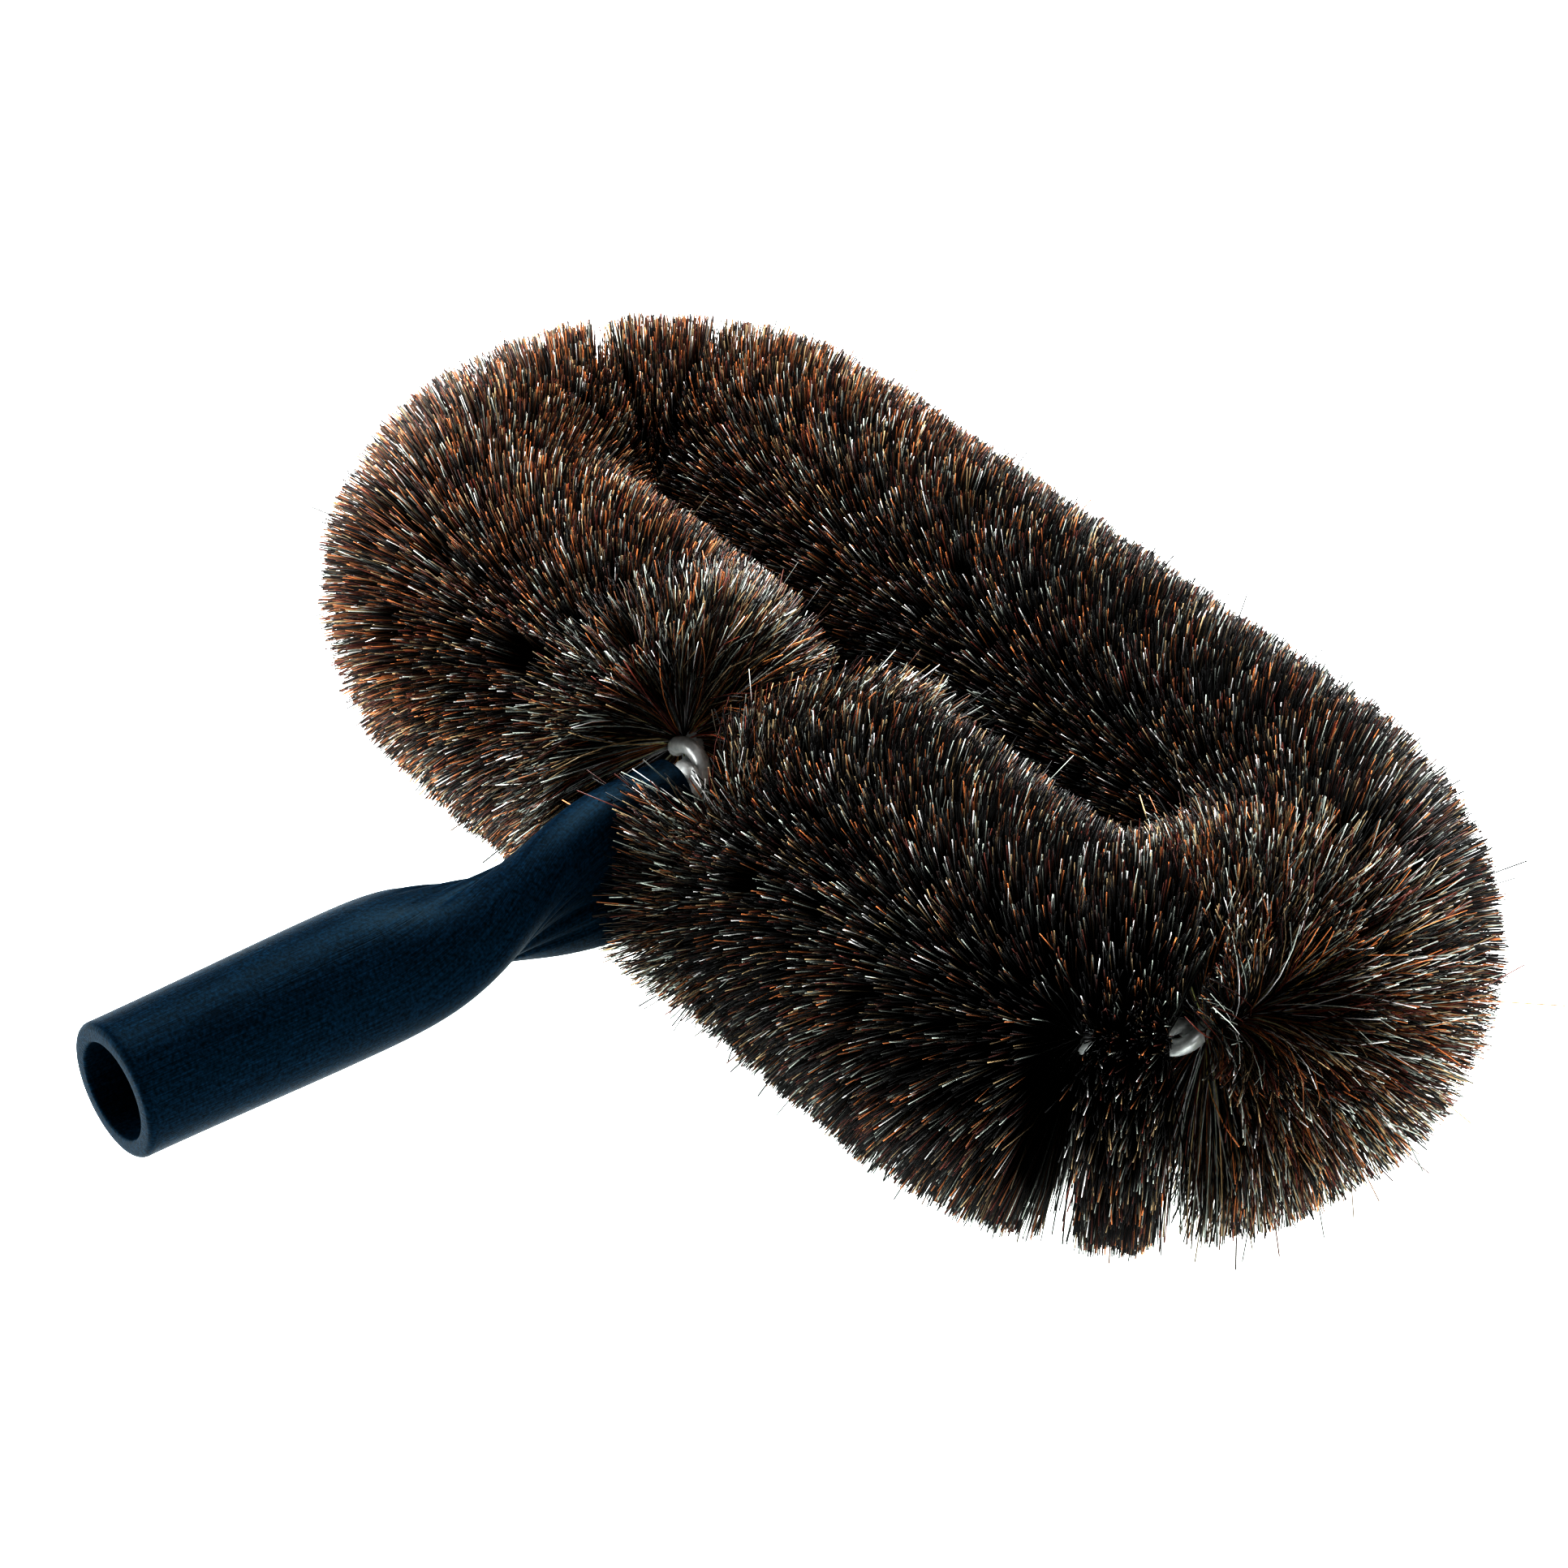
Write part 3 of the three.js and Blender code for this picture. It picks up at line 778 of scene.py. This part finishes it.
def make_wire(node, phase, material):
    """One wire of the pair: a helix round the path, with flat ends."""
    length = path.run[-1]
    turns = length / TWIST_PITCH
    run = np.linspace(0, length, int(turns * WIRE_STEPS_PER_TURN))
    axis, _, outward, up = path.at(run)
    turn = phase + 2 * math.pi * turns * run / length
    centre = axis + STRAND_OFFSET * radial(outward, up, math.pi - turn)
    heading = unit(np.gradient(centre, axis=0))
    across = unit(np.cross(heading, WORLD_UP))
    other = np.cross(heading, across)
    corner = 2 * math.pi * np.arange(WIRE_SIDES) / WIRE_SIDES
    ring = across[:, None] * np.cos(corner)[:, None] + other[:, None] * np.sin(corner)[:, None]
    vertices = (centre[:, None] + WIRE_RADIUS * ring).reshape(-1, 3)
    piece = mesh_object(f"{node}_drawn", vertices, tube_faces(len(run), WIRE_SIDES))
    place_piece(piece, material, "galvanised_wire", node)


# --- Pole socket ------------------------------------------------------------------------------------


def quarter_round(centre_radius, centre_y, size, start, steps=6):
    """Profile points round a quarter circle, from its start angle in degrees."""
    turns = np.radians(np.linspace(start, start + 90, steps))
    return [(centre_radius + size * math.cos(turn), centre_y + size * math.sin(turn)) for turn in turns]


def socket_profile():
    """Radius and y of the unsquashed socket, from the bore's end round the mouth to the blade's end, and
    how many of the points are inside the bore."""
    bore_end = SOCKET_MOUTH + BORE_DEPTH
    end_radii = (END_HOLE, BORE_END_RADIUS * BORE_END_RING, BORE_END_RADIUS)
    bore = [(radius, bore_end) for radius in end_radii]
    bore += [
        (
            BORE_END_RADIUS + (BORE_RADIUS - BORE_END_RADIUS) * i / BORE_STEPS,
            bore_end - BORE_DEPTH * BORE_WALL * i / BORE_STEPS,
        )
        for i in range(1, BORE_STEPS + 1)
    ]
    bore += quarter_round(BORE_RADIUS + BORE_ROUNDING, SOCKET_MOUTH + BORE_ROUNDING, BORE_ROUNDING, 180)
    lip = quarter_round(MOUTH_RADIUS - LIP_ROUNDING, SOCKET_MOUTH + LIP_ROUNDING, LIP_ROUNDING, 270)
    tube_start = SOCKET_MOUTH + LIP_ROUNDING
    tube_end = SOCKET_END - BLADE_ROUNDING
    tube = [
        (TUBE_RADIUS, tube_start + (tube_end - tube_start) * i / TUBE_STEPS) for i in range(1, TUBE_STEPS)
    ]
    blade_edge = quarter_round(TUBE_RADIUS - BLADE_ROUNDING, tube_end, BLADE_ROUNDING, 0)
    blade_end = [(TUBE_RADIUS * share, SOCKET_END) for share in BLADE_END_RINGS]
    return np.array(bore + lip + tube + blade_edge + blade_end), len(bore)


def squash_and_turn(radius, y, angle):
    """The outer skin: flattened from a round tube to a blade with sunken flanks, and turned upright."""
    swell = smoothstep(y, SOCKET_MOUTH, SQUASH[0])
    full = MOUTH_RADIUS + (TUBE_RADIUS - MOUTH_RADIUS) * swell
    squash = smoothstep(y, *SQUASH)
    half_width = full + (BLADE_HALF_HEIGHT - full) * squash
    half_thickness = full + (BLADE_HALF_THICKNESS - full) * squash
    power = 1 - BLADE_SQUARENESS * squash
    cosine, sine = np.cos(angle), np.sin(angle)
    across = np.sign(cosine) * np.abs(cosine) ** power
    through = np.sign(sine) * np.abs(sine) ** power
    dimple = FLANK_DIMPLE * smoothstep(y, *DIMPLE_RISE) * np.exp(-((across / DIMPLE_WIDTH) ** 2))
    folded = smoothstep(y, *FOLD_RISE) * (1 - smoothstep(y, *FOLD_FADE))
    folds = sum(depth * np.exp(-(((across - place) / FOLD_WIDTH) ** 2)) for place, depth in FOLDS)
    wide = half_width * across * radius
    thick = half_thickness * through * (1 - dimple - folds * folded) * radius
    turn = math.pi / 2 * smoothstep(y, *TURN)
    x = wide * np.cos(turn) - thick * np.sin(turn)
    z = wide * np.sin(turn) + thick * np.cos(turn)
    return x, z


def unwrap_socket(piece, profile):
    """UV round the socket, there and back so that it has no seam, and along its profile."""
    corners = np.zeros(len(piece.data.loops), np.int32)
    piece.data.loops.foreach_get("vertex_index", corners)
    around = np.abs(corners % SOCKET_SIDES / SOCKET_SIDES * 2 - 1)
    along = lengths_along(profile)[corners // SOCKET_SIDES] / STREAK_LENGTH
    unwrap(piece, "along", np.stack([around, along], axis=1))


def roughen(tree, shader, streaks, grain):
    """Fine bumps from the drawn streaks and the grain of the plastic."""
    height = tree.nodes.new("ShaderNodeMath")
    height.operation = "MULTIPLY_ADD"
    height.inputs[1].default_value = 0.35  # of the grain, on top of the streaks
    bump = tree.nodes.new("ShaderNodeBump")
    bump.inputs["Strength"].default_value = 0.5
    bump.inputs["Distance"].default_value = 0.0002
    tree.links.new(grain, height.inputs[0])
    tree.links.new(streaks, height.inputs[2])
    tree.links.new(height.outputs["Value"], bump.inputs["Height"])
    tree.links.new(bump.outputs["Normal"], shader.inputs["Normal"])


def socket_material():
    material, tree, shader = node_tree("black_plastic")
    place = tree.nodes.new("ShaderNodeUVMap")
    place.uv_map = "along"
    stretch = tree.nodes.new("ShaderNodeMapping")
    stretch.inputs["Scale"].default_value = (60, 3, 1)
    tree.links.new(place.outputs["UV"], stretch.inputs["Vector"])
    streaks = noise(tree, stretch.outputs["Vector"], scale=3, detail=6)
    grain = noise(tree, object_place(tree), scale=1400, detail=2)
    roughen(tree, shader, streaks, grain)
    tint = ramp(tree, streaks, [(0.35, (0.0010, 0.0062, 0.0125)), (0.75, (0.0045, 0.0220, 0.0400))])
    speckle = spread(tree, grain, 0.35, 1.7, start=0.3, end=0.7)
    tree.links.new(multiplied(tree, tint, speckle), shader.inputs["Base Color"])
    tree.links.new(spread(tree, streaks, 0.36, 0.60), shader.inputs["Roughness"])
    shader.inputs["Specular IOR Level"].default_value = 0.045
    shader.inputs["Specular Tint"].default_value = (0.15, 0.7, 1, 1)
    return material


def make_socket():
    profile, bore_points = socket_profile()
    angle = -2 * math.pi * np.arange(SOCKET_SIDES) / SOCKET_SIDES
    radius, y = profile[:, :1], profile[:, 1:]
    full = np.where(y > SOCKET_MOUTH + LIP_ROUNDING, TUBE_RADIUS, MOUTH_RADIUS)
    x, z = squash_and_turn(radius / full, y, angle)
    in_bore = (np.arange(len(profile)) < bore_points)[:, None]
    x = np.where(in_bore, radius * np.cos(angle), x)
    z = np.where(in_bore, radius * np.sin(angle), z) + SOCKET_HEIGHT
    vertices = np.stack([x, np.broadcast_to(y, x.shape), z], axis=-1).reshape(-1, 3)
    piece = mesh_object("pole_socket_moulding", vertices, tube_faces(len(profile), SOCKET_SIDES))
    unwrap_socket(piece, profile)
    place_piece(piece, socket_material(), "black_plastic", "pole_socket")


# --- Camera, floor and light ------------------------------------------------------------------------


def camera_axes():
    """The camera's right, up and forward directions."""
    azimuth, elevation = CAMERA_AZIMUTH, CAMERA_ELEVATION
    forward = np.array(
        [
            -math.sin(azimuth) * math.cos(elevation),
            math.cos(azimuth) * math.cos(elevation),
            -math.sin(elevation),
        ]
    )
    level = np.array([math.cos(azimuth), math.sin(azimuth), 0])
    upright = np.cross(level, forward)
    right = level * math.cos(CAMERA_ROLL) + upright * math.sin(CAMERA_ROLL)
    return right, np.cross(right, forward), forward


def make_camera():
    right, up, forward = camera_axes()
    aim = CENTRE + AIM_RIGHT * right + AIM_UP * up
    data = bpy.data.cameras.new("camera")
    data.lens = CAMERA_LENS
    data.sensor_width = 36
    data.clip_start = 0.05
    camera = bpy.data.objects.new("camera", data)
    turned = Matrix([(*axis, 0) for axis in (right, up, -forward)] + [(0, 0, 0, 1)]).transposed()
    camera.matrix_world = Matrix.Translation(Vector(aim - CAMERA_DISTANCE * forward)) @ turned
    bpy.context.scene.collection.objects.link(camera)
    bpy.context.scene.camera = camera


def make_floor():
    material, _, shader = node_tree("studio_floor")
    shader.inputs["Base Color"].default_value = (0.86, 0.86, 0.86, 1)
    shader.inputs["Roughness"].default_value = 0.9
    shader.inputs["Emission Color"].default_value = (0.94, 1, 0.97, 1)
    shader.inputs["Emission Strength"].default_value = 1.1
    corners = FLOOR_HALF_WIDTH * np.array([(-1, -1, 0), (1, -1, 0), (1, 1, 0), (-1, 1, 0)], float)
    floor = mesh_object("floor", corners - CENTRE, [np.array([[0, 1, 2, 3]])], smooth=False)
    floor.data.materials.append(material)


def area_light(name, place, size, power):
    """A square soft light at a place about the ring's centre, facing that centre."""
    data = bpy.data.lights.new(name, "AREA")
    data.size = size
    data.energy = power
    light = bpy.data.objects.new(name, data)
    light.location = Vector(CENTRE) + Vector(place)
    light.rotation_euler = (-Vector(place)).to_track_quat("-Z", "Y").to_euler()
    bpy.context.scene.collection.objects.link(light)


def make_lights():
    right, _, forward = camera_axes()
    area_light("key", right * 0.1 + WORLD_UP * 1.5 + forward * 1.0, 0.4, 30)
    area_light("left", -right * 1.1 + WORLD_UP * 0.3, 0.5, 15.5)
    area_light("end", right * 0.8 - forward * 0.8 - WORLD_UP * 0.15, 0.4, 6.5)
    area_light("front", -forward * 1.2, 0.3, 1.2)


def make_world():
    """A pale world, which the camera sees much brighter than the light that it gives."""
    world = bpy.data.worlds.new("studio")
    world.use_nodes = True
    tree = world.node_tree
    background = tree.nodes["Background"]
    background.inputs["Color"].default_value = (0.93, 0.96, 1, 1)
    rays = tree.nodes.new("ShaderNodeLightPath")
    strength = tree.nodes.new("ShaderNodeMath")
    strength.operation = "MULTIPLY_ADD"
    strength.inputs[1].default_value = WORLD_SEEN - WORLD_LIGHT
    strength.inputs[2].default_value = WORLD_LIGHT
    tree.links.new(rays.outputs["Is Camera Ray"], strength.inputs[0])
    tree.links.new(strength.outputs["Value"], background.inputs["Strength"])
    bpy.context.scene.world = world


def set_view():
    scene = bpy.context.scene
    scene.view_settings.view_transform = "Standard"
    scene.view_settings.look = "High Contrast"
    scene.view_settings.gamma = 0.8
    scene.view_settings.exposure = 0.3
    scene.cycles.max_bounces = 4
    scene.cycles.diffuse_bounces = 2


make_camera()
make_floor()
make_lights()
make_world()
set_view()
make_bristles()
wire_finish = wire_material()
make_wire("core_wire_a", 0, wire_finish)
make_wire("core_wire_b", math.pi, wire_finish)
make_socket()
